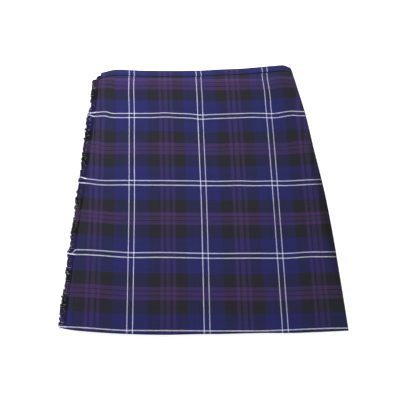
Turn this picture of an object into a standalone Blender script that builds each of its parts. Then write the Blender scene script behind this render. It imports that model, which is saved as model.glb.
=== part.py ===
"""A tartan kilt, fastened and laid flat on its pleated back with the fringed over apron upward.

Metres, +Z up.  The waist lies toward +Y, the hem toward -Y, and the origin is the middle of the
kilt's outline at the height of the surface it rests on.
"""

import math

import bmesh
import bpy

# ---------------------------------------------------------------- driving dimensions

CLOTH = 0.0010          # thickness of a cloth wall
GAP = 0.0003            # clearance at every seam and between layers
PITCH = CLOTH + GAP     # from one layer to the next
BAND_CLOTH = 0.0016     # the waistband is the same cloth, doubled and pressed
BAND_WIDTH = 0.0150     # height of the waistband
BAND_SETBACK = 0.0110   # the waistband stops this far short of the over apron's free edge
LOWER_BAND_SETBACK = 0.0095   # and under it, this far short of the lower layers' fold
PLEATS = 20             # knife pleats across the back

# The outline seen from above: how far the kilt reaches to each side at a height y.
SIDES = (
    # y,      left,    right
    (-0.320, -0.3033, 0.3037),
    (-0.200, -0.2988, 0.2912),
    (-0.100, -0.2923, 0.2812),
    (0.000, -0.2845, 0.2672),
    (0.100, -0.2771, 0.2497),
    (0.200, -0.2693, 0.2302),
    (0.320, -0.2613, 0.2032),
)
# The hem and the top edge: y at a share of the width, counted from the fringed side.
HEM = (
    # share,  y
    (0.000, -0.2985),
    (0.050, -0.3040),
    (0.140, -0.3105),
    (0.350, -0.3135),
    (0.700, -0.3097),
    (0.900, -0.3065),
    (1.000, -0.3035),
)
TOP = (
    # share,  y
    (0.000, 0.2890),
    (0.050, 0.2930),
    (0.110, 0.2985),
    (0.240, 0.2975),
    (0.540, 0.2982),
    (0.740, 0.3030),
    (0.900, 0.3110),
    (0.960, 0.3127),
    (1.000, 0.3065),
)

# How deep the hidden part of a pleat is, in pleat widths, from hem to waist.
PLEAT_DEPTH = (
    # height, depth
    (0.00, 3.25),
    (0.65, 3.10),
    (0.95, 1.10),
    (1.00, 1.10),
)
PLEATS_START = 0.105    # share of the back's width before the first pleat
PLEATS_END = 0.937      # and where the last pleat's folded edge lies
PLEAT_WIDTH = (PLEATS_END - PLEATS_START) / PLEATS
FACE_DROP = 0.0090      # length over which a pleat's face comes down behind the last fold
FACE_BEHIND = 0.0018    # how far past that fold it starts down
# A pleat's folded edge: its centre line's points, back from the edge and up from the face.
FOLDED_EDGE = (
    # back,    up
    (0.0006, 0.0),
    (0.0002, PITCH / 2 - 0.0003),
    (0.0002, PITCH / 2 + 0.0003),
    (0.0006, PITCH),
)

UNDER_INSET = 0.0120    # the lower layers end this far inside the fringe's tips
HEM_INSET = 0.0015      # and this far short of the over apron's hem
# Where the aprons' columns of points lie across the back's width, closest where they bend;
# the under apron's free edge is at the last of them.
COLUMNS = (
    0.008, 0.025, 0.045, 0.065, 0.085, 0.100, 0.115, 0.140, 0.20, 0.28, 0.36, 0.44, 0.52,
    0.60, 0.68, 0.75, 0.785, 0.810, 0.840, 0.870, 0.890, 0.910, 0.925, 0.940, 0.955,
)

FRINGE_AT_HEM = 0.0125  # from the over apron's edge to the fringe's tips
FRINGE_AT_TOP = 0.0085
FRINGE_TOP = 0.974      # height share where the fringe ends, at the waistband's seam
FRINGE_STRIP = 0.0024   # width of the strip that the strands are rooted in
STRANDS = 170
STRAND_STEPS = (0.55, 0.45)   # shares of a strand's length, from root to tip
STRAND_TAPER = 0.82
STRAND_LEAN = 0.0009
STRAND_DROOP = 0.0016

TAPE = 0.00085          # thickness of the hook tape and of the loop tape
TAPE_LENGTH = 0.055
TAPE_WIDTH = 0.011
TAPE_LIFT = 0.0029      # the over apron rides this much higher at the waist, over the tapes
WAIST_DROOP = 0.0020    # the aprons' top edges sag this much below their seams
STACK_CLEARANCE = 0.0005
APRON_CLEARANCE = 0.0005
LOWEST_UNDER = 0.0027   # the under apron's lower face, past the last pleat

LENGTH = 0.6115         # hem to waist
SEAM = 1.0 - BAND_WIDTH / LENGTH   # height share of the waistband's seam
HEIGHTS = (0.33, 0.65, 0.80, 0.90, 0.925, 0.95, SEAM - GAP / LENGTH)

BLUE_CLOTH = (0.030, 0.033, 0.110)
BAND_BLUE = (0.045, 0.050, 0.160)
YARN = (0.080, 0.065, 0.150)
BLACK_TAPE = (0.015, 0.015, 0.017)


# ---------------------------------------------------------------- small helpers

def between(table, at):
    """Reads a table of rows (key, value, ...) at a key, smoothly; returns all the values."""
    keys = [row[0] for row in table]
    i = 0
    while i < len(keys) - 2 and at > keys[i + 1]:
        i += 1
    before = table[max(i - 1, 0)]
    low = table[i]
    high = table[i + 1]
    after = table[min(i + 2, len(table) - 1)]
    span = high[0] - low[0]
    f = min(max((at - low[0]) / span, -0.2), 1.2)
    values = []
    for column in range(1, len(low)):
        slope_low = (high[column] - before[column]) / (high[0] - before[0]) * span
        slope_high = (after[column] - low[column]) / (after[0] - low[0]) * span
        ends = (low[column], high[column])
        values.append(
            (2 * f**3 - 3 * f**2 + 1) * ends[0]
            + (f**3 - 2 * f**2 + f) * slope_low
            + (3 * f**2 - 2 * f**3) * ends[1]
            + (f**3 - f**2) * slope_high
        )
    return values


def linear(table, at):
    """Reads a table of rows (key, value) in straight steps."""
    for low, high in zip(table, table[1:]):
        if at <= high[0]:
            f = (at - low[0]) / (high[0] - low[0])
            return low[1] + f * (high[1] - low[1])
    return table[-1][1]


def smooth_min(a, b, softness=0.0010):
    return (a + b - math.sqrt((a - b) ** 2 + softness**2)) / 2


def smooth_max(a, b, softness=0.0010):
    return (a + b + math.sqrt((a - b) ** 2 + softness**2)) / 2


def ease(low, high, at):
    """0 below low, 1 above high, and a smooth step between."""
    f = min(max((at - low) / (high - low), 0.0), 1.0)
    return f * f * (3 - 2 * f)


# ---------------------------------------------------------------- the kilt's plan

def plan(across, height):
    """The point (x, y) and the width there, for shares of the width and of the length."""
    y = between(HEM, across)[0] * (1 - height) + between(TOP, across)[0] * height
    left, right = between(SIDES, y)
    return left + across * (right - left), y, right - left


def under_plan(across, height):
    """The same for the lower layers; across runs from their left fold."""
    share = across
    for _ in range(3):
        width = plan(share, height)[2]
        share = (UNDER_INSET + across * (width - UNDER_INSET)) / width
    x, y, width = plan(share, height)
    return x, y, width - UNDER_INSET


def pleat_depth(height):
    return linear(PLEAT_DEPTH, height)


def under_floor(across, height):
    """How high the under apron's lower face lies, over the stack of pleats."""
    peak = 2 * PITCH + 2 * PITCH * pleat_depth(height) + CLOTH
    width = under_plan(0.5, height)[2]
    left_ramp = 0.0040 + 0.150 * (across * width - 0.006)
    right_ramp = 2 * PITCH + CLOTH + 2 * PITCH * (PLEATS_END - across) / PLEAT_WIDTH
    stack = smooth_min(smooth_min(left_ramp, right_ramp), peak)
    level = smooth_max(stack + GAP + STACK_CLEARANCE, LOWEST_UNDER, 0.0004)
    droop = WAIST_DROOP * ease(SEAM, 1.0, height)
    return level - droop * min((level - LOWEST_UNDER) / WAIST_DROOP, 1.0)


def over_floor(across, height):
    """How high the over apron's lower face lies."""
    return under_floor(across, height) + CLOTH + APRON_CLEARANCE + TAPE_LIFT * ease(0.90, 0.965, height)


def fringe_reach(height):
    """From the over apron's free edge to the fringe's tips."""
    return FRINGE_AT_HEM + (FRINGE_AT_TOP - FRINGE_AT_HEM) * height


# ---------------------------------------------------------------- making the meshes

def finish(name, bm, colour, roughness=0.9):
    bmesh.ops.recalc_face_normals(bm, faces=bm.faces)
    mesh = bpy.data.meshes.new(name)
    bm.to_mesh(mesh)
    bm.free()
    material = bpy.data.materials.new(name)
    material.use_nodes = True
    shader = material.node_tree.nodes["Principled BSDF"]
    shader.inputs["Base Color"].default_value = (*colour, 1.0)
    shader.inputs["Roughness"].default_value = roughness
    mesh.materials.append(material)
    piece = bpy.data.objects.new(name, mesh)
    bpy.context.collection.objects.link(piece)
    return piece


def loft(rows):
    """Closes a wall round rows of (outer points, inner points), all rows alike in length."""
    bm = bmesh.new()
    grid = [[[bm.verts.new(p) for p in side] for side in row] for row in rows]
    for low, high in zip(grid, grid[1:]):
        ring_low = low[0] + low[1][::-1]
        ring_high = high[0] + high[1][::-1]
        for i in range(len(ring_low)):
            j = (i + 1) % len(ring_low)
            bm.faces.new((ring_low[i], ring_low[j], ring_high[j], ring_high[i]))
    for outer, inner in (grid[0], grid[-1]):
        for i in range(len(outer) - 1):
            bm.faces.new((outer[i], outer[i + 1], inner[i + 1], inner[i]))
    return bm


def thickened(path, thickness):
    """Offsets a section path of (x, z) points to both sides; returns the two paths."""
    sides = ([], [])
    for i, (x, z) in enumerate(path):
        before = path[max(i - 1, 0)]
        after = path[min(i + 1, len(path) - 1)]
        into = (x - before[0], z - before[1])
        out = (after[0] - x, after[1] - z)
        if i == 0:
            into = out
        if i == len(path) - 1:
            out = into
        into_angle = math.atan2(into[1], into[0])
        turn = math.atan2(into[0] * out[1] - into[1] * out[0], into[0] * out[0] + into[1] * out[1])
        normal = into_angle + turn / 2 - math.pi / 2
        reach = thickness / 2 / math.cos(turn / 2)
        for side, sign in zip(sides, (1, -1)):
            side.append((x + sign * reach * math.cos(normal), z + sign * reach * math.sin(normal)))
    return sides


def heights(low, high, count):
    return [low + (high - low) * i / count for i in range(count + 1)]


def quarter_fold(radius, thickness, steps=3):
    """Centre line of the lower half of a folded side, as (in from the side, z), bottom first."""
    mid = radius - thickness / 2
    upright = 0.0003
    end = math.asin((GAP / 2 + upright) / mid)
    points = []
    for i in range(steps + 1):
        angle = -math.pi / 2 + (math.pi / 2 - end) * i / steps
        points.append((radius - mid * math.cos(angle), radius + mid * math.sin(angle)))
    points.append((points[-1][0], radius - GAP / 2))
    return points


def fold_radius_right(height, thickness):
    return (over_floor(1.0, height) + thickness) / 2


def fold_radius_left(height, thickness, setback=0.0):
    width = under_plan(0.0, height)[2]
    return (under_floor(setback / width, height) + thickness) / 2


# ---------------------------------------------------------------- pleated back

def back_section(height, thickness):
    """Centre line of the pleated back across the kilt: points (x from its left fold, z)."""
    width = under_plan(0.0, height)[2]
    half = thickness / 2
    start = PLEATS_START * width
    step = PLEAT_WIDTH * width
    depth = pleat_depth(height) * step
    path = quarter_fold(fold_radius_left(height, thickness), thickness)[::-1]

    def lift(k, x):
        """Layers of pleats that pleat k rides on at x, in pairs."""
        if x >= start:
            return (start + (k + 1) * step - x) / step
        return k + max(0.0, 1 - (start - x) / FACE_DROP)

    for k in range(PLEATS):
        edge = start + (k + 1) * step
        inner = edge - depth
        turns = []
        # The first pleats reach back past the start, where they come down with nothing below.
        if k < math.ceil(PLEAT_DEPTH[0][1]) - 1:
            turns = [max(start, inner + 0.0030), max(start - FACE_DROP, inner + 0.0015)]
        if k > 0:
            behind = start + k * step
            path.append((behind + FACE_BEHIND, 2 * PITCH + half))
            path.append((behind + FACE_BEHIND + FACE_DROP, half))
        path += [(edge - back, up + half) for back, up in FOLDED_EDGE]
        for x in turns:
            path.append((x, PITCH + half + 2 * PITCH * lift(k, x)))
        low = PITCH + half + 2 * PITCH * lift(k, inner)
        path.append((inner, low))
        path.append((inner - PITCH / 2, low + PITCH / 2))
        path.append((inner, low + PITCH))
        for x in reversed(turns):
            path.append((x, 2 * PITCH + half + 2 * PITCH * lift(k, x)))
    last = start + PLEATS * step
    path.append((last + FACE_BEHIND, 2 * PITCH + half))
    path.append((last + FACE_BEHIND + FACE_DROP, half))
    side = quarter_fold(fold_radius_right(height, thickness), thickness)
    path += [(width - x, z) for x, z in side]
    return path


def on_plan(section, height):
    """Puts a section's points (x from the lower layers' left fold, z) on the plan."""
    points = []
    width = under_plan(0.0, height)[2]
    for x, z in section:
        px, py, _ = under_plan(x / width, height)
        points.append((px, py, z))
    return points


def pleated_back():
    rows = []
    for height in (HEM_INSET / LENGTH, *HEIGHTS):
        outer, inner = thickened(back_section(height, CLOTH), CLOTH)
        rows.append((on_plan(outer, height), on_plan(inner, height)))
    return finish("pleated_back", loft(rows), BLUE_CLOTH)


# ---------------------------------------------------------------- aprons and waistbands

def under_section(height, thickness, setback=0.0):
    """The under apron: its left fold, then across to its free edge."""
    width = under_plan(0.0, height)[2]
    radius = fold_radius_left(height, thickness, setback)
    side = quarter_fold(radius, thickness)
    path = [(setback + x, 2 * radius - z) for x, z in reversed(side)]
    for across in COLUMNS:
        if across * width > setback + radius:
            path.append((across * width, under_floor(across, height) + thickness / 2))
    return path


def over_section(height, thickness, setback=0.0):
    """The over apron: from its fringed edge to the fold at the right."""
    width = under_plan(0.0, height)[2]
    edge = fringe_reach(height) - UNDER_INSET + setback
    radius = fold_radius_right(height, thickness)
    fold = [(width - x, 2 * radius - z) for x, z in quarter_fold(radius, thickness)]
    path = []
    for x in (edge, *(across * width for across in COLUMNS if across * width > edge + 0.002)):
        path.append((x, over_floor(x / width, height) + thickness / 2))
    return path + fold


def over_band_section(height, thickness):
    return over_section(height, thickness, BAND_SETBACK)


def under_band_section(height, thickness):
    return under_section(height, thickness, LOWER_BAND_SETBACK)


def back_band_section(height, thickness):
    """The back's waistband lies on the surface and turns up at both sides."""
    width = under_plan(0.0, height)[2]
    left = quarter_fold(fold_radius_left(height, thickness, LOWER_BAND_SETBACK), thickness)
    right = quarter_fold(fold_radius_right(height, thickness), thickness)
    path = [(LOWER_BAND_SETBACK + x, z) for x, z in reversed(left)]
    for share in heights(0.04, 0.78, 32) + heights(0.80, 0.97, 24):
        path.append((width * share, thickness / 2))
    return path + [(width - x, z) for x, z in right]


def sheet(name, section, thickness, steps, colour):
    rows = []
    for height in steps:
        outer, inner = thickened(section(height, thickness), thickness)
        rows.append((on_plan(outer, height), on_plan(inner, height)))
    return finish(name, loft(rows), colour)


def aprons():
    shared = sorted({0.11, 0.22, 0.44, 0.55, 0.725, 0.85, *HEIGHTS})
    sheet("under_apron", under_section, CLOTH, [HEM_INSET / LENGTH, *shared], BLUE_CLOTH)
    sheet("over_apron", over_section, CLOTH, [0.0, *shared], BLUE_CLOTH)


def waistbands():
    band = heights(SEAM, 1.0, 3)
    sheet("waistband_over", over_band_section, BAND_CLOTH, band, BAND_BLUE)
    sheet("waistband_under", under_band_section, BAND_CLOTH, band, BAND_BLUE)
    sheet("waistband_back", back_band_section, BAND_CLOTH, band, BAND_BLUE)


# ---------------------------------------------------------------- fringe

def fringe():
    """A narrow strip along the over apron's free edge, with the strands rooted in it."""
    stations = heights(0.0, FRINGE_TOP, 2 * STRANDS)
    rows = []
    for height in stations:
        width = under_plan(0.0, height)[2]
        inner_x = fringe_reach(height) - UNDER_INSET - GAP
        outer_x = inner_x - FRINGE_STRIP
        z = over_floor(inner_x / width, height)
        lower = on_plan([(outer_x, z), (inner_x, z)], height)
        upper = on_plan([(outer_x, z + CLOTH), (inner_x, z + CLOTH)], height)
        rows.append((lower, upper))
    bm = loft(rows)
    # Each span of the strip has four faces, the outer side last; every other one is a root.
    bm.faces.ensure_lookup_table()
    ends = [bm.faces[4 * span + 3] for span in range(0, 2 * STRANDS, 2)]
    for step in STRAND_STEPS:
        ends = bmesh.ops.extrude_discrete_faces(bm, faces=ends)["faces"]
        for index, face in enumerate(ends):
            height = stations[2 * index]
            short = 1.0 - 0.40 * ease(0.93, FRINGE_TOP, height)
            uneven = 0.86 + 0.10 * math.sin(index * 2.4) + 0.04 * math.sin(index * 0.9)
            length = (fringe_reach(height) - FRINGE_STRIP - GAP) * short * uneven
            lean = STRAND_LEAN * math.sin(index * 1.7 + 0.5)
            middle = face.calc_center_median()
            for vert in face.verts:
                vert.co = middle + (vert.co - middle) * STRAND_TAPER
                vert.co.x -= length * step
                vert.co.y += lean * step
                vert.co.z -= STRAND_DROOP * step
    return finish("fringe", bm, YARN)


# ---------------------------------------------------------------- hook and loop fastening

def tapes():
    """Two fastenings between the aprons' waistbands, one at each apron's free edge."""
    middle_height = (SEAM + 1.0) / 2
    tall = TAPE_WIDTH / LENGTH / 2
    for side, centre in (("left", 0.075), ("right", 0.885)):
        for kind, lift in (("loop", GAP), ("hook", 2 * GAP + TAPE)):

            def section(height, thickness):
                width = under_plan(0.0, height)[2]
                points = []
                for i in range(5):
                    across = centre + TAPE_LENGTH / width * (i / 4 - 0.5)
                    level = under_floor(across, height) + BAND_CLOTH + lift
                    points.append((across * width, level + thickness / 2))
                return points

            steps = heights(middle_height - tall, middle_height + tall, 2)
            sheet(f"{kind}_tape_{side}", section, TAPE, steps, BLACK_TAPE)


for old in list(bpy.data.objects):
    bpy.data.objects.remove(old, do_unlink=True)
pleated_back()
aprons()
waistbands()
fringe()
tapes()
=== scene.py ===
"""A tartan kilt laid flat on its pleated back: its cloth, waistband and fringe over the frame."""

import math
import random

import bmesh
import bpy
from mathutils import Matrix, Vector, noise


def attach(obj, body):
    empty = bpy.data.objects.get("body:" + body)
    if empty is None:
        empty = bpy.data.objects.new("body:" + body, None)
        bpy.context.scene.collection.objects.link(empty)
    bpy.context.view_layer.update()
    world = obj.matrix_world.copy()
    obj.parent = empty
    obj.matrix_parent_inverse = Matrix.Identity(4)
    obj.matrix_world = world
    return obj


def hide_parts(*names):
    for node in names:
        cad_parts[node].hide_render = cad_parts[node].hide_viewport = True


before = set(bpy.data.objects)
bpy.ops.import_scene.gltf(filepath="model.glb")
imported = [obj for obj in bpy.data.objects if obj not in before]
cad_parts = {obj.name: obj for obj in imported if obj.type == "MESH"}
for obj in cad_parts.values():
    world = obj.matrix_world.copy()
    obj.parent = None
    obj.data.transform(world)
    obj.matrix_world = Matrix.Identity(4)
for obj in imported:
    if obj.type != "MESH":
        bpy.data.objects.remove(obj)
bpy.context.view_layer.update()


# ================================================================ the table, lights and camera
# The kilt lies on a white studio table, which glows around it.  One soft light stands near the
# waist at the fringed side and a larger one beyond the hem, in a white room, and the camera looks
# down from over the hem at about 74 degrees.

TABLE_SIZE = 8.0
TABLE_BELOW = 0.0002    # just under the lowest pleats
TABLE_WHITE = (0.93, 0.93, 0.93, 1)
# Painted light: the table top glows near the kilt, which lightens the kilt's shadows on it.
TABLE_GLOW = (0.8, 2.8, 0.60, 0.0)      # from and to, out from the kilt: full glow, then none

table_mesh = bmesh.new()
bmesh.ops.create_grid(table_mesh, x_segments=1, y_segments=1, size=TABLE_SIZE / 2)
bmesh.ops.translate(table_mesh, verts=table_mesh.verts, vec=(0, 0, -TABLE_BELOW))
table_data = bpy.data.meshes.new("table_top")
table_mesh.to_mesh(table_data)
table_mesh.free()
table = bpy.data.objects.new("table_top", table_data)
bpy.context.collection.objects.link(table)

table_paint = bpy.data.materials.new("glowing_white_table")
table_paint.use_nodes = True
table_shader = table_paint.node_tree.nodes["Principled BSDF"]
table_shader.inputs["Base Color"].default_value = TABLE_WHITE
table_shader.inputs["Roughness"].default_value = 0.9
table_shader.inputs["Specular IOR Level"].default_value = 0.1
table_shader.inputs["Emission Color"].default_value = (1, 1, 1, 1)
table_place = table_paint.node_tree.nodes.new("ShaderNodeTexCoord")
table_reach = table_paint.node_tree.nodes.new("ShaderNodeVectorMath")
table_reach.operation = "LENGTH"
table_glow = table_paint.node_tree.nodes.new("ShaderNodeMapRange")
table_glow.interpolation_type = "SMOOTHSTEP"
for slot, value in zip(table_glow.inputs[1:5], TABLE_GLOW):
    slot.default_value = value
table_paint.node_tree.links.new(table_place.outputs["Object"], table_reach.inputs[0])
table_paint.node_tree.links.new(table_reach.outputs["Value"], table_glow.inputs[0])
table_paint.node_tree.links.new(table_glow.outputs[0], table_shader.inputs["Emission Strength"])
table_data.materials.append(table_paint)

CAMERA_PLACE = (-0.0009, -0.3689, 1.1966)
CAMERA_TURN = (16.31, 0.37, 0.27)   # degrees: tilt up from straight down, lean, roll
CAMERA_LENS = 50                    # millimetres, on a sensor 36 mm wide
SENSOR_WIDTH = 36

camera_data = bpy.data.cameras.new("camera")
camera_data.lens = CAMERA_LENS
camera_data.sensor_width = SENSOR_WIDTH
camera = bpy.data.objects.new("camera", camera_data)
camera.location = CAMERA_PLACE
camera.rotation_euler = [math.radians(turn) for turn in CAMERA_TURN]
bpy.context.collection.objects.link(camera)
bpy.context.scene.camera = camera
bpy.context.scene.view_settings.view_transform = "Standard"

SOFT_LIGHTS = (
    # name,        place,               size, watts
    ("waist_box", (-0.40, 0.45, 0.85), 0.7, 9.0),
    ("hem_box", (-0.5, -2.6, 1.9), 1.8, 12.0),
)
for name, place, size, watts in SOFT_LIGHTS:
    lamp = bpy.data.lights.new(name, "AREA")
    lamp.shape = "SQUARE"
    lamp.size = size
    lamp.energy = watts
    light = bpy.data.objects.new(name, lamp)
    light.location = place
    light.rotation_euler = (-Vector(place)).to_track_quat("-Z", "Y").to_euler()
    bpy.context.collection.objects.link(light)

ROOM_LIGHT = 0.54

room = bpy.data.worlds.new("white_room")
room.use_nodes = True
room.node_tree.nodes["Background"].inputs["Color"].default_value = (1, 1, 1, 1)
room.node_tree.nodes["Background"].inputs["Strength"].default_value = ROOM_LIGHT
bpy.context.scene.world = room


# ================================================================ the tartan cloth Worsted 2/2
# twill, woven in one check for warp and weft: blue with a pair of white lines, then black, then
# three purple lines, and back.

SETT_ACROSS = 0.1604    # one repeat of the check across the cloth
SETT_ALONG = 0.1636     # and along it
THREAD = 0.00052        # one yarn of the twill
TWILL_YARNS = 4         # yarns in one round of the weave, over two and under two
WEFT_SHOWS = 0.49       # the share of the face on which the weft lies on top

YARN_SHADES = (0.82, 0.36)              # the darkest yarn, and how much lighter they may get
DYE_GREENER = (0.88, 1.07, 0.86, 1)
DYE_REDDER = (1.14, 0.94, 1.15, 1)
DYE_CONTRAST = (4.5, -1.75)             # spreads the noise to the whole way between the two
DYED_LENGTHS = ((55, 9, 1), (9, 55, 1))     # patches to a metre: in the warp, in the weft
PAINTED_LIGHT_STRIP = (0.238, 0.262)     # along the cloth, the strip below the waistband that is painted lighter: painted light
PAINTED_LIGHT_STRIP_GAIN = 1.50         # how much lighter that strip is painted
WHITE_YARN_FROM = 0.3           # yarn brighter than this is white and was not dyed

YARN_HEIGHT = 0.00015
TWILL_ROUGHNESS = 0.88
TWILL_SPECULAR = 0.22
TWILL_SHEEN = 0.05
SHEEN_ROUGHNESS = 0.5
SHEEN_TINT = (0.75, 0.78, 1.0, 1)

BLUE = (0.0148, 0.0157, 0.0850, 1)
BLUE_WEFT = (0.0148, 0.0157, 0.1100, 1)
BLACK = (0.0142, 0.0138, 0.0188, 1)
PURPLE = (0.0390, 0.0230, 0.0820, 1)
PURPLE_WEFT = (0.0560, 0.0255, 0.1010, 1)
WHITE = (0.730, 0.740, 0.960, 1)
WHITE_WEFT = (0.800, 0.810, 0.960, 1)

WARP_HALF = (
    # from, yarn: shares of half a repeat, from the middle of the white pair
    (0.000, BLUE),
    (0.0592, WHITE),
    (0.0830, BLUE),
    (0.475, BLACK),
    (0.793, PURPLE),
    (0.880, BLACK),
    (0.943, PURPLE),
)
WEFT_HALF = (
    # from, yarn
    (0.000, BLUE_WEFT),
    (0.0502, WHITE_WEFT),
    (0.0776, BLUE_WEFT),
    (0.480, BLACK),
    (0.828, PURPLE_WEFT),
    (0.922, BLACK),
    (0.951, PURPLE_WEFT),
)


def maths(tree, operation, a, b=0.0, c=None):
    """A Math node on sockets or numbers; returns its output socket."""
    node = tree.nodes.new("ShaderNodeMath")
    node.operation = operation
    for slot, value in zip(node.inputs, (a, b, c)):
        if value is None:
            continue
        if isinstance(value, bpy.types.NodeSocket):
            tree.links.new(value, slot)
        else:
            slot.default_value = value
    return node.outputs[0]


def blended(tree, share, low, high, how="MIX"):
    """A colour Mix node on sockets or plain colours."""
    node = tree.nodes.new("ShaderNodeMix")
    node.data_type = "RGBA"
    node.blend_type = how
    for slot, value in ((node.inputs[0], share), (node.inputs[6], low), (node.inputs[7], high)):
        if isinstance(value, bpy.types.NodeSocket):
            tree.links.new(value, slot)
        else:
            slot.default_value = value
    return node.outputs[2]


def striped(tree, place, repeat, half_sett):
    """The colours of the check along one direction, from a place in metres."""
    fold = maths(tree, "PINGPONG", place, repeat / 2)
    share = maths(tree, "DIVIDE", fold, repeat / 2)
    ramp = tree.nodes.new("ShaderNodeValToRGB")
    ramp.color_ramp.interpolation = "CONSTANT"
    stops = ramp.color_ramp.elements
    while len(stops) < len(half_sett):
        stops.new(0.5)
    for stop, (start, yarn) in zip(stops, half_sett):
        stop.position = start
        stop.color = yarn
    tree.links.new(share, ramp.inputs[0])
    return ramp.outputs[0]


def yarn_shade(tree, index, seed):
    """A little lighter or darker for each yarn, from its number."""
    random_node = tree.nodes.new("ShaderNodeTexWhiteNoise")
    random_node.noise_dimensions = "1D"
    tree.links.new(maths(tree, "ADD", index, seed), random_node.inputs["W"])
    darkest, lighter = YARN_SHADES
    return maths(tree, "MULTIPLY_ADD", random_node.outputs["Value"], lighter, darkest)


def yarn_round(tree, number):
    """How high a yarn's round back stands, from 0 beside it to 1 on its middle."""
    return maths(tree, "ABSOLUTE", maths(tree, "SINE", maths(tree, "MULTIPLY", number, math.pi)))


def dye_drift(tree, cloth_map, stretch):
    """The dye took a little greener in one length of yarn and redder in another."""
    stretched = tree.nodes.new("ShaderNodeVectorMath")
    stretched.operation = "MULTIPLY"
    stretched.inputs[1].default_value = stretch
    tree.links.new(cloth_map.outputs[0], stretched.inputs[0])
    patches = tree.nodes.new("ShaderNodeTexNoise")
    patches.inputs["Scale"].default_value = 1.0
    patches.inputs["Detail"].default_value = 2.0
    tree.links.new(stretched.outputs[0], patches.inputs["Vector"])
    drift = maths(tree, "MULTIPLY_ADD", patches.outputs[0], *DYE_CONTRAST)
    return blended(tree, drift, DYE_GREENER, DYE_REDDER)


def tartan(name, light=1.0):
    """The twill's material, read from the piece's own map of the cloth in metres.

    The white yarn keeps its white; light is painted light on the dyed yarns, how much lighter.
    """
    material = bpy.data.materials.new(name)
    material.use_nodes = True
    tree = material.node_tree
    shader = tree.nodes["Principled BSDF"]
    cloth_map = tree.nodes.new("ShaderNodeUVMap")
    cloth_map.uv_map = "cloth"
    parts = tree.nodes.new("ShaderNodeSeparateXYZ")
    tree.links.new(cloth_map.outputs[0], parts.inputs[0])
    across, along = parts.outputs[0], parts.outputs[1]

    warp_number = maths(tree, "DIVIDE", across, THREAD)
    weft_number = maths(tree, "DIVIDE", along, THREAD)
    warp_index = maths(tree, "FLOOR", warp_number)
    weft_index = maths(tree, "FLOOR", weft_number)
    step = maths(tree, "MULTIPLY", maths(tree, "ADD", warp_index, weft_index), 1 / TWILL_YARNS)
    weft_up = maths(tree, "LESS_THAN", maths(tree, "FRACT", step), WEFT_SHOWS)

    warp = striped(tree, across, SETT_ACROSS, WARP_HALF)
    weft = striped(tree, along, SETT_ALONG, WEFT_HALF)
    woven = blended(tree, weft_up, warp, weft)
    shade = blended(
        tree, weft_up, yarn_shade(tree, warp_index, 0.3), yarn_shade(tree, weft_index, 7.7)
    )
    shaded = blended(tree, 1.0, woven, shade, "MULTIPLY")
    dye = blended(tree, weft_up, *(dye_drift(tree, cloth_map, run) for run in DYED_LENGTHS))
    # Painted light: the dyed yarns are painted light times lighter, and more in the strip below
    # the waistband.
    painted_lightness = tree.nodes.new("ShaderNodeMapRange")
    painted_lightness.interpolation_type = "SMOOTHSTEP"
    for slot, value in zip(painted_lightness.inputs[1:5], (*PAINTED_LIGHT_STRIP, light, PAINTED_LIGHT_STRIP_GAIN * light)):
        slot.default_value = value
    tree.links.new(along, painted_lightness.inputs[0])
    dyed_yarn = maths(tree, "LESS_THAN", woven, WHITE_YARN_FROM)
    dye_and_painted_light = blended(tree, 1.0, dye, painted_lightness.outputs[0], "MULTIPLY")
    dye_and_painted_light = blended(tree, dyed_yarn, (1, 1, 1, 1), dye_and_painted_light)
    tree.links.new(blended(tree, 1.0, shaded, dye_and_painted_light, "MULTIPLY"), shader.inputs["Base Color"])

    height = blended(tree, weft_up, yarn_round(tree, warp_number), yarn_round(tree, weft_number))
    bump = tree.nodes.new("ShaderNodeBump")
    bump.inputs["Strength"].default_value = 0.5
    bump.inputs["Distance"].default_value = YARN_HEIGHT
    tree.links.new(height, bump.inputs["Height"])
    tree.links.new(bump.outputs[0], shader.inputs["Normal"])

    shader.inputs["Roughness"].default_value = TWILL_ROUGHNESS
    shader.inputs["Specular IOR Level"].default_value = TWILL_SPECULAR
    shader.inputs["Sheen Weight"].default_value = TWILL_SHEEN
    shader.inputs["Sheen Roughness"].default_value = SHEEN_ROUGHNESS
    shader.inputs["Sheen Tint"].default_value = SHEEN_TINT
    return material


# ================================================================ the pleated back
# The back is one length of the cloth, pressed in knife pleats that all turn one way, one repeat
# of the check hidden in each, so that the check runs on unbroken across the outside.  It lies on
# the table with the pleats' faces down, and turns up at both sides to meet the aprons.

CLOTH = 0.0010          # the wall of the frame's cloth
GAP = 0.0003            # air between two layers
PITCH = CLOTH + GAP
LENGTH = 0.6115         # of the kilt, from hem to waist
BAND_HEIGHT = 0.0150
SEAM = 1.0 - BAND_HEIGHT / LENGTH       # where the waistband is sewn on; heights run from 0 to 1
SHELL = 0.0009          # the cloth as it is seen, a little thinner than the frame's wall
HEM_INSET = 0.0015      # the back and the under apron end this far above the over apron's hem

SIDES = (
    # y,      left,    right
    (-0.320, -0.3033, 0.3038),
    (-0.200, -0.2988, 0.2925),
    (-0.100, -0.2923, 0.2824),
    (0.000, -0.2845, 0.2695),
    (0.100, -0.2771, 0.2516),
    (0.200, -0.2693, 0.2340),
    (0.320, -0.2613, 0.2038),
)
HEM = (
    # share of the width, y
    (0.000, -0.3008),
    (0.050, -0.3057),
    (0.140, -0.3102),
    (0.250, -0.3134),
    (0.370, -0.3143),
    (0.480, -0.3127),
    (0.560, -0.3121),
    (0.700, -0.3098),
    (0.800, -0.3095),
    (0.900, -0.3068),
    (1.000, -0.3036),
)
TOP = (
    # share of the width, y
    (0.000, 0.2925),
    (0.050, 0.2969),
    (0.110, 0.3023),
    (0.240, 0.2997),
    (0.520, 0.2998),
    (0.640, 0.3031),
    (0.740, 0.3052),
    (0.830, 0.3090),
    (0.900, 0.3126),
    (0.966, 0.3157),
    (1.000, 0.3070),
)
PLEATS = 20
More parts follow.
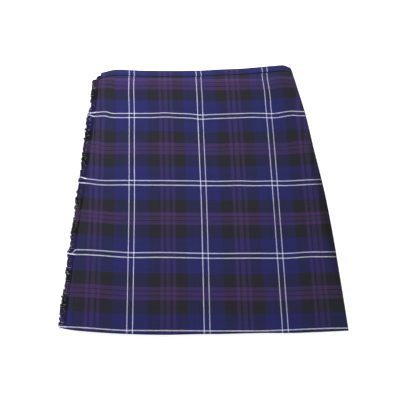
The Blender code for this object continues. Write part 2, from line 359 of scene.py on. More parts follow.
PLEAT_DEPTH = (
    # height, depth of the hidden part in pleat widths
    (0.00, 3.25),
    (0.65, 3.10),
    (0.95, 1.10),
    (1.00, 1.10),
)
PLEATS_START = 0.105
PLEATS_END = 0.937
PLEAT_WIDTH = (PLEATS_END - PLEATS_START) / PLEATS
PLEAT_SHOWS = 0.0223    # cloth that shows on each pleat, at the hip
FACE_BEHIND = 0.0018    # how far past the pleat before it a pleat's face starts down
FACE_DROP = 0.0090      # and over what width it comes down to the table
FOLD_ROUND = PITCH / 2  # radius of a pressed fold
FOLD_START = 0.0006     # in from a pleat's edge, where its face turns into the fold
LONG_TURNS = 3          # the first pleats, whose hidden part reaches past the start and turns down
TURN_POINTS = (0.0030, 0.0015)      # its two turns stay at least this far from its end
BACK_STEPS = 44         # of the grid, from hem to seam

UNDER_INSET = 0.0120    # the lower layers fold this far in from the fringed side
LEFT_RAMP = (0.006, 0.0040, 0.150)  # beside that fold: from x, the under apron's height, slope
STACK_CLEARANCE = 0.0005    # more air over the pleats
LOWEST_UNDER = 0.0027   # the lowest that the under apron lies
LOWEST_SOFTNESS = 0.0004
WAIST_DROOP = 0.0020    # how far it sinks at the waist
OVER_RISE = 0.0015      # from the under apron to the over apron
BAND_RISE = 0.0029      # and more where the doubled waistbands and the tapes lie between them
BAND_RISE_AT = (0.90, 0.965)        # the heights where that begins and is full
LOWER_BAND_SETBACK = 0.0095     # the lower waistbands end this far in from the fold
CORNER = 0.966          # above this height the corner is cut back toward the waistband's end


def between(table, at):
    """Reads a table of rows (key, value, ...) at a key, smoothly and a little past its ends."""
    i = 0
    while i < len(table) - 2 and at > table[i + 1][0]:
        i += 1
    before, low, high = table[max(i - 1, 0)], table[i], table[i + 1]
    after = table[min(i + 2, len(table) - 1)]
    span = high[0] - low[0]
    f = min(max((at - low[0]) / span, -0.2), 1.2)
    weights = (2 * f**3 - 3 * f**2 + 1, f**3 - 2 * f**2 + f, 3 * f**2 - 2 * f**3, f**3 - f**2)
    values = []
    for column in range(1, len(low)):
        slope_low = (high[column] - before[column]) / (high[0] - before[0]) * span
        slope_high = (after[column] - low[column]) / (after[0] - low[0]) * span
        terms = (low[column], slope_low, high[column], slope_high)
        values.append(sum(w * t for w, t in zip(weights, terms)))
    return values


def linear(table, at):
    """Reads a table of rows (key, value) in straight steps."""
    for low, high in zip(table, table[1:]):
        if at <= high[0]:
            return low[1] + (at - low[0]) / (high[0] - low[0]) * (high[1] - low[1])
    return table[-1][1]


def ease(low, high, at):
    """Goes smoothly from 0 at low to 1 at high; low may be the larger one."""
    f = min(max((at - low) / (high - low), 0.0), 1.0)
    return f * f * (3 - 2 * f)


def smooth_min(a, b, softness=0.0010):
    """The lower of two heights, with the corner between them rounded."""
    return (a + b - math.sqrt((a - b) ** 2 + softness**2)) / 2


def smooth_max(a, b, softness):
    """The higher of two heights, rounded in the same way."""
    return (a + b + math.sqrt((a - b) ** 2 + softness**2)) / 2


def plan(across, height):
    """The point (x, y) and the width there, for shares of the width and of the length."""
    y = between(HEM, across)[0] * (1 - height) + between(TOP, across)[0] * height
    left, right = between(SIDES, y)
    return left + across * (right - left), y, right - left


def under_plan(across, height):
    """The same for the lower layers; across runs from their left fold."""
    share = across
    for _ in range(3):
        width = plan(share, height)[2]
        share = (UNDER_INSET + across * (width - UNDER_INSET)) / width
    x, y, width = plan(share, height)
    return x, y, width - UNDER_INSET


def under_floor(across, height):
    """How high the under apron's lower face lies, over the stack of pleats."""
    peak = 2 * PITCH + 2 * PITCH * linear(PLEAT_DEPTH, height) + CLOTH
    width = under_plan(0.5, height)[2]
    ramp_from, ramp_height, slope = LEFT_RAMP
    left_ramp = ramp_height + slope * (across * width - ramp_from)
    right_ramp = 2 * PITCH + CLOTH + 2 * PITCH * (PLEATS_END - across) / PLEAT_WIDTH
    stack = smooth_min(smooth_min(left_ramp, right_ramp), peak)
    level = smooth_max(stack + GAP + STACK_CLEARANCE, LOWEST_UNDER, LOWEST_SOFTNESS)
    droop = WAIST_DROOP * ease(SEAM, 1.0, height)
    return level - droop * min((level - LOWEST_UNDER) / WAIST_DROOP, 1.0)


def over_floor(across, height):
    """How high the over apron's lower face lies."""
    return under_floor(across, height) + OVER_RISE + BAND_RISE * ease(*BAND_RISE_AT, height)


def fold_radius_left(height, thickness, setback=0.0):
    """Radius of the fold at the fringed side, from the back up to the under apron."""
    width = under_plan(0.0, height)[2]
    return (under_floor(setback / width, height) + thickness) / 2


def fold_radius_right(height, thickness):
    """Radius of the fold at the other side, from the back up to the over apron."""
    return (over_floor(1.0, height) + thickness) / 2


def quarter_fold(radius, thickness, steps=7):
    """Centre line of the lower half of a folded side, as (in from the side, z), bottom first."""
    mid = radius - thickness / 2
    end = math.asin(GAP / mid)
    angles = [-math.pi / 2 + (math.pi / 2 - end) * i / steps for i in range(steps + 1)]
    return [(radius - mid * math.cos(a), radius + mid * math.sin(a)) for a in angles]


def rounded(corners, reach=0.004, most=0.45, steps=3):
    """Softens each corner by a curve over reach of its legs, or the share most of a short leg."""
    path = [corners[0]]
    for before, here, after in zip(corners, corners[1:], corners[2:]):
        here = Vector(here)
        into, out = Vector(before) - here, Vector(after) - here
        start = here + into.normalized() * min(reach, into.length * most)
        end = here + out.normalized() * min(reach, out.length * most)
        for i in range(steps + 1):
            f = i / steps
            path.append(tuple(start * (1 - f) ** 2 + here * 2 * f * (1 - f) + end * f**2))
    return path + [corners[-1]]


# How the cloth's threads lie on the front, off the straight, as it was smoothed out by hand.
CHECK_PLACE = (-0.0026, -0.0641)    # on a white pair of the warp, midway between two of the weft
CHECK_LEAN = 0.0335     # how much the warp leans to the left on its way to the waist
WARP_SWAY = (
    # y,     to the right at the left, the middle and the right white pair
    (-0.300, 0.0000, 0.0005, 0.0022),
    (-0.150, 0.0018, 0.0019, 0.0021),
    (-0.020, 0.0028, 0.0024, 0.0016),
    (0.110, 0.0019, 0.0010, 0.0009),
    (0.200, 0.0009, 0.0002, -0.0004),
    (0.245, -0.0005, 0.0000, -0.0010),
    (0.275, -0.0001, -0.0012, -0.0040),
)
SAG_MIDDLE = (0.020, 0.050)         # the middle's x, and half its width
WEFT_SAG = (
    # y,     toward the hem, more in the middle
    (-0.310, 0.0014, 0.0002),
    (-0.146, 0.0019, 0.0006),
    (0.018, 0.0012, 0.0013),
    (0.181, -0.0007, 0.0020),
    (0.300, -0.0007, 0.0010),
)
BOW_LEFT = (
    # y,     toward the waist, full and none at, in from the side
    (-0.310, 0.0072, 0.000, 0.150),
    (-0.146, 0.0080, 0.012, 0.150),
    (0.018, 0.0114, -0.025, 0.070),
    (0.181, 0.0056, 0.034, 0.058),
    (0.300, 0.0040, 0.034, 0.058),
)
BOW_RIGHT = (
    # y,     toward the waist, full and none at, in from the side
    (-0.310, 0.0074, 0.000, 0.215),
    (-0.146, 0.0056, 0.005, 0.120),
    (0.018, 0.0068, 0.000, 0.100),
    (0.181, 0.0088, 0.028, 0.082),
    (0.300, 0.0080, 0.028, 0.082),
)
EDGE_SPREAD = 0.0065    # how far the warp is drawn out toward the fold at the right side
EDGE_SPREAD_REACH = (0.026, 0.002)  # in from the fold: where that begins, and where it is full
RIPPLE_HALF_HEIGHT = 0.050
RIPPLES = (
    # x,     y,      half width, toward the waist
    (-0.093, 0.181, 0.022, 0.0014),
    (-0.009, 0.181, 0.020, -0.0024),
    (0.112, 0.181, 0.028, 0.0013),
    (0.112, 0.018, 0.025, -0.0009),
    (-0.091, -0.146, 0.052, 0.0011),
    (0.221, -0.146, 0.030, 0.0014),
)


def weave_front(x, y):
    """Where a point of the front lies in the cloth: metres across and along its check."""
    left, right = between(SIDES, y)
    at_left, at_middle, at_right = between(WARP_SWAY, y)
    share = x / SETT_ACROSS
    sway = at_middle + (at_right - at_middle if share > 0 else at_middle - at_left) * share
    sag, middle_sag = between(WEFT_SAG, y)
    middle_x, middle_half = SAG_MIDDLE
    sag += middle_sag * math.exp(-(((x - middle_x) / middle_half) ** 2))
    lift_left, near_left, far_left = between(BOW_LEFT, y)
    lift_right, near_right, far_right = between(BOW_RIGHT, y)
    bow = lift_left * (1 - ease(near_left, far_left, x - left))
    bow += lift_right * (1 - ease(near_right, far_right, right - x)) - sag
    for at_x, at_y, half_width, lift in RIPPLES:
        beside, above = (x - at_x) / half_width, (y - at_y) / RIPPLE_HALF_HEIGHT
        bow += lift * math.exp(-(beside**2) - above**2)
    sway += EDGE_SPREAD * ease(*EDGE_SPREAD_REACH, right - x)
    from_x, from_y = x - CHECK_PLACE[0], y - CHECK_PLACE[1]
    return from_x - sway + CHECK_LEAN * from_y, from_y - bow - SETT_ALONG / 2


def cloth_piece(name, rows, thickness, material, nodes):
    """Lays a grid on rows of (point, map) pairs, gives it thickness and sets it on the frame."""
    columns = len(rows[0])
    bm = bmesh.new()
    bmesh.ops.create_grid(bm, x_segments=columns - 1, y_segments=len(rows) - 1, size=0.5)
    cloth_map = bm.loops.layers.uv.new("cloth")
    places = {}
    for vert in bm.verts:
        column = round((vert.co.x + 0.5) * (columns - 1))
        row = round((vert.co.y + 0.5) * (len(rows) - 1))
        point, weave = rows[row][column]
        vert.co = point
        places[vert] = weave
    for face in bm.faces:
        face.smooth = True
        for loop in face.loops:
            loop[cloth_map].uv = places[loop.vert]
    mesh = bpy.data.meshes.new(name)
    bm.to_mesh(mesh)
    bm.free()
    mesh.materials.append(material)
    piece = bpy.data.objects.new(name, mesh)
    bpy.context.collection.objects.link(piece)
    wall = piece.modifiers.new("thickness", "SOLIDIFY")
    wall.thickness = thickness
    wall.offset = 0
    wall.use_even_offset = True
    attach(piece, "root")
    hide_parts(*nodes)
    return piece


def spread(low, high, count):
    """The ends of count equal steps from low to high."""
    return [low + (high - low) * i / count for i in range(count + 1)]


def bend(x, z, way, angles):
    """Points round a pressed fold that begins at (x, z) and bulges right or, at -1, left."""
    return [(x + way * FOLD_ROUND * math.cos(a), z + FOLD_ROUND + FOLD_ROUND * math.sin(a))
            for a in angles]


def back_rows():
    """The pleated back from hem to waist: rows of points, each with its place in the cloth."""
    rows = []
    for height in spread(HEM_INSET / LENGTH, SEAM - GAP / LENGTH, BACK_STEPS):
        width = under_plan(0.0, height)[2]
        half = CLOTH / 2
        start, step = PLEATS_START * width, PLEAT_WIDTH * width
        depth = linear(PLEAT_DEPTH, height) * step
        cut = LOWER_BAND_SETBACK * ease(CORNER, SEAM, height)
        side = quarter_fold(fold_radius_left(height, CLOTH, cut), CLOTH)[::-1]
        path = [(cut + x, z, -(start - cut - x)) for x, z in side]
        for k in range(PLEATS):
            edge = start + (k + 1) * step
            inner = edge - depth
            shown = k * (PLEAT_SHOWS + SETT_ACROSS)
            if k == 0:
                face = [(start, half), (edge, half)]
            else:
                behind = start + k * step
                face = rounded(
                    [(behind, 2 * PITCH + half), (behind + FACE_BEHIND, 2 * PITCH + half),
                     (behind + FACE_BEHIND + FACE_DROP, half), (edge, half)])
            turns = []
            if k < LONG_TURNS:
                turns = [max(limit, inner + before)
                         for limit, before in zip((start, start - FACE_DROP), TURN_POINTS)]

            def level(x):
                """How high the pleats below hold this one's hidden part at x."""
                if x >= start:
                    return 2 * PITCH * (edge - x) / step
                return 2 * PITCH * (k + max(0.0, 1 - (start - x) / FACE_DROP))

            out = [(x, PITCH + half + level(x)) for x in (*turns, inner)]
            back = [(x, 2 * PITCH + half + level(x)) for x in (inner, *reversed(turns))]
            fold = bend(edge - FOLD_ROUND, half, 1, (-0.9, -0.3, 0.3, 0.9))
            tuck = bend(inner, out[-1][1], -1, (-0.7, 0.0, 0.7))
            hidden = [*fold, (edge - FOLD_START, PITCH + half), *out, *tuck, *back]
            face[-1] = (edge - FOLD_START, half)
            path += measured(face, shown, PLEAT_SHOWS)
            path += measured(hidden, shown + PLEAT_SHOWS, SETT_ACROSS)
        last = start + PLEATS * step
        shown = PLEATS * (PLEAT_SHOWS + SETT_ACROSS)
        radius = fold_radius_right(height, CLOTH)
        tail = rounded([(last, 2 * PITCH + half), (last + FACE_BEHIND, 2 * PITCH + half),
                        (last + FACE_BEHIND + FACE_DROP, half), (width - radius - CLOTH, half)])
        tail += [(width - x, z) for x, z in quarter_fold(radius, CLOTH)]
        path += measured(tail, shown, None)
        row = []
        for x, z, across in path:
            px, py, _ = under_plan(x / width, height)
            row.append(((px, py, z), (across + BACK_CHECK_AT, weave_front(px, py)[1])))
        rows.append(row)
    return rows


def measured(points, start, cloth):
    """Adds to each point how much cloth lies before it; the last gets all of cloth, if stated."""
    total = sum(math.dist(a, b) for a, b in zip(points, points[1:]))
    scale = 1.0 if cloth is None else cloth / total
    run = 0.0
    result = []
    for i, point in enumerate(points):
        run += math.dist(points[i - 1], point) if i else 0.0
        result.append((*point, start + run * scale))
    return result


BACK_CHECK_AT = 0.046   # turns the check so that its white pairs show evenly on the back

back_cloth = cloth_piece(
    "pleated_back_cloth", back_rows(), SHELL, tartan("tartan_of_the_back"),
    ["pleated_back"])


# ================================================================ the under apron
# A plain panel of the same cloth.  It turns up from the back at the fringed side and lies over
# the pleats, with its free edge just short of the fold at the other side.

UNDER_FREE_EDGE = 0.955     # as a share of the lower layers' width
PAST_FOLD = 0.004       # where the panel's flat part begins, past the fold's round
UNDER_STEPS = (70, 70)  # of the grid, from side to side and from hem to seam


def under_path(height, thickness, setback=0.0):
    """The upper half of the fold at the fringed side, then the panel to its free edge."""
    width = under_plan(0.0, height)[2]
    radius = fold_radius_left(height, thickness, setback)
    side = quarter_fold(radius, thickness)[::-1]
    path = [(setback + x, 2 * radius - z) for x, z in side]
    first = (setback + radius + PAST_FOLD) / width
    for across in spread(first, UNDER_FREE_EDGE, UNDER_STEPS[0]):
        path.append((across * width, under_floor(across, height) + thickness / 2))
    return path


def on_plan(path, height, weave):
    """Puts a path of (x from the lower layers' left fold, z) on the plan, with its map."""
    width = under_plan(0.0, height)[2]
    row = []
    turned = 0.0
    for i, (x, z) in enumerate(path):
        px, py, _ = under_plan(x / width, height)
        if i and x > width / 2:
            step = math.dist(path[i - 1], (x, z)) - abs(x - path[i - 1][0])
            turned += max(0.0, step)
        across, along = weave(px, py)
        row.append(((px, py, z), (across + turned, along)))
    return row


def under_rows():
    rows = []
    for height in spread(HEM_INSET / LENGTH, SEAM - GAP / LENGTH, UNDER_STEPS[1]):
        cut = LOWER_BAND_SETBACK * ease(CORNER, SEAM, height)
        rows.append(on_plan(under_path(height, CLOTH, cut), height, weave_front))
    return rows


under_cloth = cloth_piece(
    "under_apron_cloth", under_rows(), SHELL, tartan("tartan_of_the_under_apron"),
    ["under_apron"])


# ================================================================ the over apron
# The front panel, cut from the same length.  It lies plain from its fringed edge to the fold at
# the side, with soft long waves where it rests on the pleats, and a pressed dip at the seam.

FRINGE = (
    # height, from the woven edge to the side
    (0.00, 0.0125),
    (0.25, 0.0145),
    (0.50, 0.0155),
    (0.75, 0.0145),
    (1.00, 0.0130),
)
CORNER_CUT = 0.0020     # how much further in the woven edge runs at the top corner
BEFORE_FOLD = 0.003     # where the flat part ends, before the right fold's round
RELIEF_FADES = 0.02     # in from the right side, where the waves reach their full height
DIP = (0.0024, 0.0030)  # at the seam: how deep, and how far down from it
OVER_STEPS = (190, 200)     # of the grid, from side to side and from hem to seam

UNEVEN = 0.0004         # how far the whole cloth rises and falls between the waves
UNEVEN_PLACES = (9, 5)  # times to a metre, across and along
WAVE_RISES = (-0.15, 0.2)   # shares of a wave's length between which it rises
WAVE_FALLS = (0.8, 1.15)    # and between which it falls again
WAVES = (
    # from x, y,      to x, y,        half width, height
    (-0.205, -0.300, -0.150, 0.220, 0.030, 0.0007),
    (-0.105, -0.120, -0.085, 0.255, 0.022, 0.0005),
    (-0.020, -0.305, -0.005, 0.060, 0.034, 0.0008),
    (0.080, -0.050, 0.062, 0.250, 0.024, 0.0006),
    (0.150, -0.300, 0.105, 0.030, 0.032, 0.0007),
    (0.225, -0.290, 0.190, 0.100, 0.020, 0.0009),
    (-0.262, -0.250, -0.250, 0.120, 0.012, 0.0006),
)


def wave(x, y):
    """How far soft waves lift the cloth at a place."""
    lift = 0.0
    for x0, y0, x1, y1, half_width, height in WAVES:
        run = Vector((x1 - x0, y1 - y0))
        to = Vector((x - x0, y - y0))
        along = to.dot(run) / run.length_squared
        beside = abs(to.x * run.y - to.y * run.x) / run.length
        fade = ease(*WAVE_RISES, along) * (1 - ease(*WAVE_FALLS, along))
        lift += height * fade * math.exp(-((beside / half_width) ** 2))
    often_x, often_y = UNEVEN_PLACES
    return lift + UNEVEN * noise.noise(Vector((x * often_x, y * often_y, 0.0)))


def over_edge(height):
    """The woven edge beside the fringe, as x from the lower layers' left fold."""
    return between(FRINGE, height)[0] - UNDER_INSET + CORNER_CUT * ease(CORNER, SEAM, height)


def over_path(height, thickness, edge, columns, relief):
    """The panel from its edge at the fringe, then the upper half of the fold at the right side."""
    width = under_plan(0.0, height)[2]
    radius = fold_radius_right(height, thickness)
    fold = [(width - x, 2 * radius - z) for x, z in quarter_fold(radius, thickness)]
    path = []
    for x in spread(edge, fold[0][0] - BEFORE_FOLD, columns):
        px, py, _ = under_plan(x / width, height)
        lift = relief(px, py, height) * ease(width, width - RELIEF_FADES, x)
        path.append((x, over_floor(x / width, height) + thickness / 2 + lift))
    return path + fold


def apron_relief(x, y, height):
    """Soft waves, and the dip where the cloth goes in under the waistband."""
    below_seam = (SEAM - height) * LENGTH
    deep, down = DIP
    return wave(x, y) - deep * math.exp(-((below_seam / down) ** 2))


def over_rows():
    rows = []
    for height in spread(0.0, SEAM - GAP / LENGTH, OVER_STEPS[1]):
        path = over_path(height, CLOTH, over_edge(height), OVER_STEPS[0], apron_relief)
        rows.append(on_plan(path, height, weave_front))
    return rows


FOLD_SHADE_PAINT = (0.54, 0.51, 0.43, 1)       # painted shade: beside the right fold, where the cloth rolls away from the light, it is painted darker
FOLD_SHADE_PAINT_REACH = (0.024, 0.008)        # in from the fold: where it begins, and where it is full
FOLD_SHADE_PAINT_MIDDLE = -0.035               # the height, as y, about which it lies
FOLD_SHADE_PAINT_HALF = (0.240, 0.068)         # up and down from there: where it ends, where it is full
FOLD_LINE = (-0.141, 0.2672)           # the right fold's x there, as a slope on y and x at y = 0


def paint_fold_shade(material):
    """Paints shade on the cloth beside its right fold, where it rolls away from the light."""
    tree = material.node_tree
    colour = tree.nodes["Principled BSDF"].inputs["Base Color"]
    place = tree.nodes.new("ShaderNodeTexCoord")
    parts = tree.nodes.new("ShaderNodeSeparateXYZ")
    tree.links.new(place.outputs["Object"], parts.inputs[0])
    x, y = parts.outputs[0], parts.outputs[1]
    inward = maths(tree, "SUBTRACT", maths(tree, "MULTIPLY_ADD", y, *FOLD_LINE), x)
    beside = maths(tree, "ABSOLUTE", maths(tree, "SUBTRACT", y, FOLD_SHADE_PAINT_MIDDLE))
    shares = []
    for distance, (start, full) in ((inward, FOLD_SHADE_PAINT_REACH), (beside, FOLD_SHADE_PAINT_HALF)):
        share = tree.nodes.new("ShaderNodeMapRange")
        share.interpolation_type = "SMOOTHSTEP"
        for slot, value in zip(share.inputs[1:5], (full, start, 1.0, 0.0)):
            slot.default_value = value
        tree.links.new(distance, share.inputs[0])
        shares.append(share.outputs[0])
    shade = blended(tree, maths(tree, "MULTIPLY", *shares), (1, 1, 1, 1), FOLD_SHADE_PAINT)
    tree.links.new(
        blended(tree, 1.0, colour.links[0].from_socket, shade, "MULTIPLY"), colour)


over_tartan = tartan("tartan_of_the_over_apron")
paint_fold_shade(over_tartan)
over_cloth = cloth_piece(
    "over_apron_cloth", over_rows(), SHELL, over_tartan, ["over_apron"])


# ================================================================ the waistband
# The same cloth doubled to a narrow band and sewn along the top edges, in three stretches: on the
# over apron, on the under apron and on the back.  Only blue weft shows on it.

BAND_CLOTH = 0.0016     # the doubled cloth
BAND_CHECK_AT = 0.0105  # where the band's lower edge lies in the check, from the white pair
BAND_SHIFT = 0.0012     # at the seam the band's warp lies this far beside the apron's
BAND_END = 0.0030       # where the over apron's band ends, from the lower layers' left fold
BAND_PLUMP = (0.0008, 1.15)     # height, and how quickly up the band it is reached and lost
BAND_DRAWN = (0.0007, 0.22)     # how far it is drawn down at the seam, and up to what share
BAND_STEPS = (120, 16)      # of the grid, along the over apron's band and up it
BACK_BAND_STEPS = 90
BACK_BAND_FLAT = (0.04, 0.97)   # shares of the width between which the back's band lies flat
BAND_PAINTED_LIGHT = 1.3        # painted light: how much lighter the band's cloth is painted, as it bulges and catches the light


def band_weave(height):
    """Where the band's points at one height lie in the cloth."""
    def place(x, y):
        across = weave_front(x, y)[0] - BAND_SHIFT * (1.0 - height) / (1.0 - SEAM)
        return across, BAND_CHECK_AT + (height - SEAM) * LENGTH
    return place


def band_relief(x, y, height):
    """The doubled band is plump in the middle and drawn down at the seam."""
    up = (height - SEAM) / (1.0 - SEAM)
    plump, quickness = BAND_PLUMP
    drawn, drawn_to = BAND_DRAWN
    swell = plump * math.sin(math.pi * min(up * quickness, 1.0))
    return swell - drawn * (1 - ease(0.0, drawn_to, up))


def band_rows(path):
    """A band's rows up from the seam, on the path across that is given for each height."""
    rows = []
    for height in spread(SEAM, 1.0, BAND_STEPS[1]):
        rows.append(on_plan(path(height), height, band_weave(height)))
    return rows


def back_band_path(height):
    """The band on the back, with the lower halves of the folds at both sides."""
    width = under_plan(0.0, height)[2]
    left = quarter_fold(fold_radius_left(height, BAND_CLOTH, LOWER_BAND_SETBACK), BAND_CLOTH)
    right = quarter_fold(fold_radius_right(height, BAND_CLOTH), BAND_CLOTH)
    path = [(LOWER_BAND_SETBACK + x, z) for x, z in reversed(left)]
    path += [(width * share, BAND_CLOTH / 2) for share in spread(*BACK_BAND_FLAT, BACK_BAND_STEPS)]
    return path + [(width - x, z) for x, z in right]


# The band's tartan is a copy painted lighter: painted light.
band_tartan = tartan("tartan_of_the_waistband", BAND_PAINTED_LIGHT)
back_band = cloth_piece(
    "back_waistband", band_rows(back_band_path), BAND_CLOTH, band_tartan,
    ["waistband_back"])
under_band = cloth_piece(
    "under_waistband",
    band_rows(lambda height: under_path(height, BAND_CLOTH, setback=LOWER_BAND_SETBACK)),
    BAND_CLOTH, band_tartan, ["waistband_under"])
over_band = cloth_piece(
    "over_waistband",
    band_rows(lambda height: over_path(
        height, BAND_CLOTH, BAND_END, BAND_STEPS[0], band_relief)),
    BAND_CLOTH, band_tartan, ["waistband_over"])


# ================================================================ the hidden fastening
# Two pairs of hook and loop tape of black nylon, sewn between the aprons' waistbands where each
# free edge lies.  The hooks make a coarse face and the loops a fine pile.

TAPE_BLACK = (0.012, 0.012, 0.014, 1)
HOOK_GRAIN = 900        # times to a metre
LOOP_GRAIN = 2600
TAPE_PILE = 0.0004

for node, fuzz in (("hook_tape_left", HOOK_GRAIN), ("hook_tape_right", HOOK_GRAIN),
                   ("loop_tape_left", LOOP_GRAIN), ("loop_tape_right", LOOP_GRAIN)):
    tape = bpy.data.materials.new(f"black_{node}")
    tape.use_nodes = True
    tape_shader = tape.node_tree.nodes["Principled BSDF"]
    tape_shader.inputs["Base Color"].default_value = TAPE_BLACK
    tape_shader.inputs["Roughness"].default_value = 0.7
    grain = tape.node_tree.nodes.new("ShaderNodeTexNoise")
    grain.inputs["Scale"].default_value = fuzz
    place = tape.node_tree.nodes.new("ShaderNodeTexCoord")
    tape.node_tree.links.new(place.outputs["Object"], grain.inputs["Vector"])
    pile = tape.node_tree.nodes.new("ShaderNodeBump")
    pile.inputs["Distance"].default_value = TAPE_PILE
    tape.node_tree.links.new(grain.outputs[0], pile.inputs["Height"])
    tape.node_tree.links.new(pile.outputs[0], tape_shader.inputs["Normal"])
    for material_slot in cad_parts[node].material_slots:
        material_slot.link = "OBJECT"
        material_slot.material = tape


# ================================================================ the fringe
# At the over apron's free edge the warp is drawn out and the weft stands out from the cloth by 13
# to 23 mm.  A strip of the same cloth, fringed too, is sewn below it.  The yarns keep the crimp
# of the weave and curl together in small tufts.

YARN_RADIUS = 0.00034
YARN_POINTS = 8
YARN_ROUGHNESS = 0.9
YARN_SPECULAR = 0.2
YARN_ROOT = 0.001       # inside the woven edge, where a yarn begins
YARN_CRIMP = (0.00018, 3)       # along the edge: how far, and how many waves in a yarn
YARN_LIFT = (0.0003, 2.5)       # and the same up and down
TIP_DROOP = 0.0016      # how far the tips hang down
TIP_CURL_FROM = 0.68    # the share of a yarn at which its tip begins to curl
CURL_SHORTENS = 0.3     # how far a curled tip is drawn back, for its curl
STRAY_BY = 0.8          # the share of a yarn at which it has strayed the whole way

TUFT = 0.0048           # length of edge whose yarns curl together
WHITE_TUFT_MIDDLE = 0.0012      # from a white line's first yarn to its middle
TUFT_CLOSES = (0.2, 0.7)        # the shares of a yarn between which its tuft closes
TUFT_OPENS = 0.7        # and how much of that is lost again at the tips
TUFT_REACHES = (0.88, 1.10)     # drawn by lot: a tuft's reach
TUFT_GATHERS = (0.5, 1.0)       # how closely it gathers
YARN_REACHES = (0.95, 1.0)      # a yarn's share of its tuft's reach
YARN_CURLS = (0.3, 1.0)         # and of its fringe's curl
HIDDEN_WHITE_REACH = 0.95       # the reach of blue yarns where the strip's white ones would be
FRINGES = {
    # reach, gathered into tufts, curled along the edge at the tips, below the apron
    "apron_fringe": ((1.00, 0.80, 0.0024, 0.0004), (0.97, 0.80, -0.0024, 0.0007)),
    "fringe_strip": ((0.85, 0.10, 0.0006, 0.0013),),
}
TIPS = (
    # height, the tips beyond the side
    (0.00, 0.0042),
    (0.03, 0.0058),
    (0.055, 0.0044),
    (0.085, 0.0051),
    (0.125, 0.0046),
    (0.15, 0.0006),
    (0.18, 0.0019),
    (0.21, 0.0021),
    (0.24, 0.0046),
    (0.27, 0.0046),
    (0.29, 0.0014),
    (0.315, 0.0010),
    (0.335, 0.0040),
    (0.37, 0.0036),
    (0.39, 0.0010),
    (0.43, 0.0034),
    (0.47, 0.0034),
    (0.49, 0.0046),
    (0.56, 0.0037),
    (0.64, 0.0037),
    (0.67, 0.0046),
    (0.70, 0.0068),
    (0.73, 0.0048),
    (0.745, 0.0069),
    (0.77, 0.0064),
    (0.82, 0.0077),
    (0.845, 0.0025),
    (0.87, 0.0024),
    (0.90, 0.0046),
    (0.94, 0.0047),
    (0.96, 0.0038),
    (0.98, 0.0078),
    (1.00, 0.0066),
)
FRINGE_HALF_PAINTED_SHADE = (
    # from, yarn: the weft's half repeat, painted darker where the yarns stand deep: painted shade
    (0.000, (0.0190, 0.0135, 0.0700, 1)),
    (0.0502, WHITE),
    (0.0776, (0.0190, 0.0135, 0.0700, 1)),
    (0.480, (0.0100, 0.0098, 0.0115, 1)),
    (0.828, (0.0400, 0.0220, 0.0600, 1)),
)
WHITE_ENDS = {
    # white line, counted from the hem: how far its end strays toward the waist, its reach
    1: (-0.0015, 1.02),
    2: (0.0010, 1.10),
    3: (-0.0105, 0.85),
    4: (0.0010, 1.10),
    5: (0.0045, 1.10),
    6: (0.0056, 1.05),
    7: (0.0004, 0.80),
}
LOWEST_PAIR = -2        # the white pair nearest the hem, as the check's repeats are counted

CORNER_YARNS = 46       # ends that stand out between the fringe and the waistband's end
CORNER_WIDTH = 0.0035   # of cloth that they stand out from
CORNER_TURN = (192, 66)         # degrees: the way the first points, and how far they fan out
CORNER_REACH = (0.0125, 0.0080)     # the first one's length, and how much shorter the last is
CORNER_CHECK_AT = 0.32  # the repeat's share that they lie at, in the black


def edge_yarns():
    for number in range(int(SEAM * LENGTH / THREAD)):
        height = number * THREAD / LENGTH
        width = under_plan(0.0, height)[2]
        edge = over_edge(height)
        root = under_plan(edge / width, height)[:2]
        tip = under_plan((-UNDER_INSET - linear(TIPS, height)) / width, height)[:2]
        yield root, tip, over_floor(edge / width, height), weave_front(*root)[1]
    width = under_plan(0.0, SEAM)[2]
    for number in range(CORNER_YARNS):
        f = number / CORNER_YARNS
        x = over_edge(SEAM) + CORNER_WIDTH * f
        root = under_plan(x / width, SEAM)[:2]
        turn = math.radians(CORNER_TURN[0] - CORNER_TURN[1] * f)
        length = CORNER_REACH[0] - CORNER_REACH[1] * f * f
        tip = (root[0] + length * math.cos(turn), root[1] + length * math.sin(turn))
        yield root, tip, over_floor(x / width, SEAM), CORNER_CHECK_AT * SETT_ALONG


def white_line(along):
    """The number of the white line that a place in the check lies on, from the hem, or none."""
    pair = math.floor(along / SETT_ALONG + 0.5)
    share = 2 * (along / SETT_ALONG - pair)
    if not WEFT_HALF[1][0] < abs(share) < WEFT_HALF[2][0]:
        return None
    return 2 * (pair - LOWEST_PAIR) + (1 if share > 0 else 0)


fringe_random = random.Random(7)


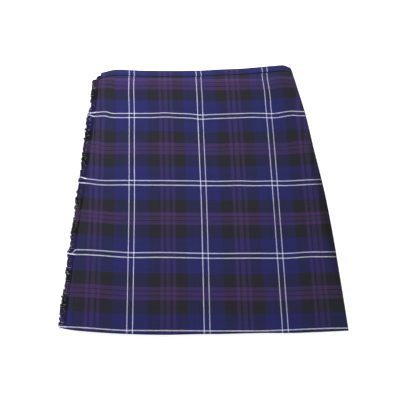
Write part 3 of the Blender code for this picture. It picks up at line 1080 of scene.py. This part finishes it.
def draw_yarns(name, layers, white_ends):
    """One fringe's yarns as a mesh; each yarn's map holds its place in the check."""
    curves = bpy.data.curves.new(name, "CURVE")
    curves.dimensions = "3D"
    curves.bevel_depth = YARN_RADIUS
    curves.bevel_resolution = 0
    yarn_along = []
    tufts = {}
    for layer_reach, gather, curl, below in layers:
        for number, (root, tip, floor, along) in enumerate(edge_yarns()):
            white = white_line(along)
            if white and not white_ends:
                white, along = None, 0.0
            tuft = white or -1 - round(number * THREAD / TUFT)
            if tuft not in tufts:
                tuft_reach = fringe_random.uniform(*TUFT_REACHES)
                stray, reach = white_ends.get(white, (0.0, tuft_reach))
                middle = root[1] + (TUFT / 2 if white is None else WHITE_TUFT_MIDDLE)
                tight = gather * fringe_random.uniform(*TUFT_GATHERS)
                tufts[tuft] = (stray, reach, middle, tight)
            stray, reach, middle, tight = tufts[tuft]
            own_reach = fringe_random.uniform(*YARN_REACHES)
            reach *= own_reach * (layer_reach if along else HIDDEN_WHITE_REACH)
            curled = curl * fringe_random.uniform(*YARN_CURLS)
            phase = fringe_random.uniform(0, 2 * math.pi)
            yarn = curves.splines.new("POLY")
            yarn.points.add(YARN_POINTS - 1)
            for i, point in enumerate(yarn.points):
                t = i / (YARN_POINTS - 1)
                turn = ease(TIP_CURL_FROM, 1.0, t)
                x = root[0] + YARN_ROOT + (tip[0] - root[0] - YARN_ROOT) * t * reach
                x += CURL_SHORTENS * abs(curled) * turn * turn
                y = root[1] + (tip[1] - root[1]) * t
                y += stray * ease(0.0, STRAY_BY, t) + curled * turn
                y += (middle - root[1]) * tight * ease(*TUFT_CLOSES, t) * (1 - TUFT_OPENS * turn)
                y += YARN_CRIMP[0] * math.sin(2 * math.pi * t * YARN_CRIMP[1] + phase)
                z = floor + CLOTH / 2 - (0.0 if white else below) - TIP_DROOP * t * t
                z += YARN_LIFT[0] * math.sin(2 * math.pi * t * YARN_LIFT[1] + phase)
                point.co = (x, y, z, 1)
            yarn_along.append(along)
    curve_object = bpy.data.objects.new(name, curves)
    mesh = bpy.data.meshes.new_from_object(curve_object)
    bpy.data.objects.remove(curve_object)
    yarn_map = mesh.uv_layers.new(name="cloth")
    yarn_verts = len(mesh.vertices) // len(yarn_along)
    for loop in mesh.loops:
        yarn_map.data[loop.index].uv = (0.0, yarn_along[loop.vertex_index // yarn_verts])
    return mesh


yarn_material = bpy.data.materials.new("weft_yarn_of_the_fringe")
yarn_material.use_nodes = True
yarn_tree = yarn_material.node_tree
yarn_shader = yarn_tree.nodes["Principled BSDF"]
yarn_map = yarn_tree.nodes.new("ShaderNodeUVMap")
yarn_map.uv_map = "cloth"
yarn_parts = yarn_tree.nodes.new("ShaderNodeSeparateXYZ")
yarn_tree.links.new(yarn_map.outputs[0], yarn_parts.inputs[0])
yarn_index = maths(yarn_tree, "FLOOR", maths(yarn_tree, "DIVIDE", yarn_parts.outputs[1], THREAD))
yarn_colour = striped(yarn_tree, yarn_parts.outputs[1], SETT_ALONG, FRINGE_HALF_PAINTED_SHADE)
yarn_tree.links.new(
    blended(yarn_tree, 1.0, yarn_colour, yarn_shade(yarn_tree, yarn_index, 7.7), "MULTIPLY"),
    yarn_shader.inputs["Base Color"])
yarn_shader.inputs["Roughness"].default_value = YARN_ROUGHNESS
yarn_shader.inputs["Specular IOR Level"].default_value = YARN_SPECULAR

for name, layers in FRINGES.items():
    yarns = draw_yarns(name, layers, WHITE_ENDS if name == "apron_fringe" else {})
    yarns.materials.clear()
    yarns.materials.append(yarn_material)
    fringe = bpy.data.objects.new(name, yarns)
    bpy.context.collection.objects.link(fringe)
    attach(fringe, "root")
    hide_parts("fringe")
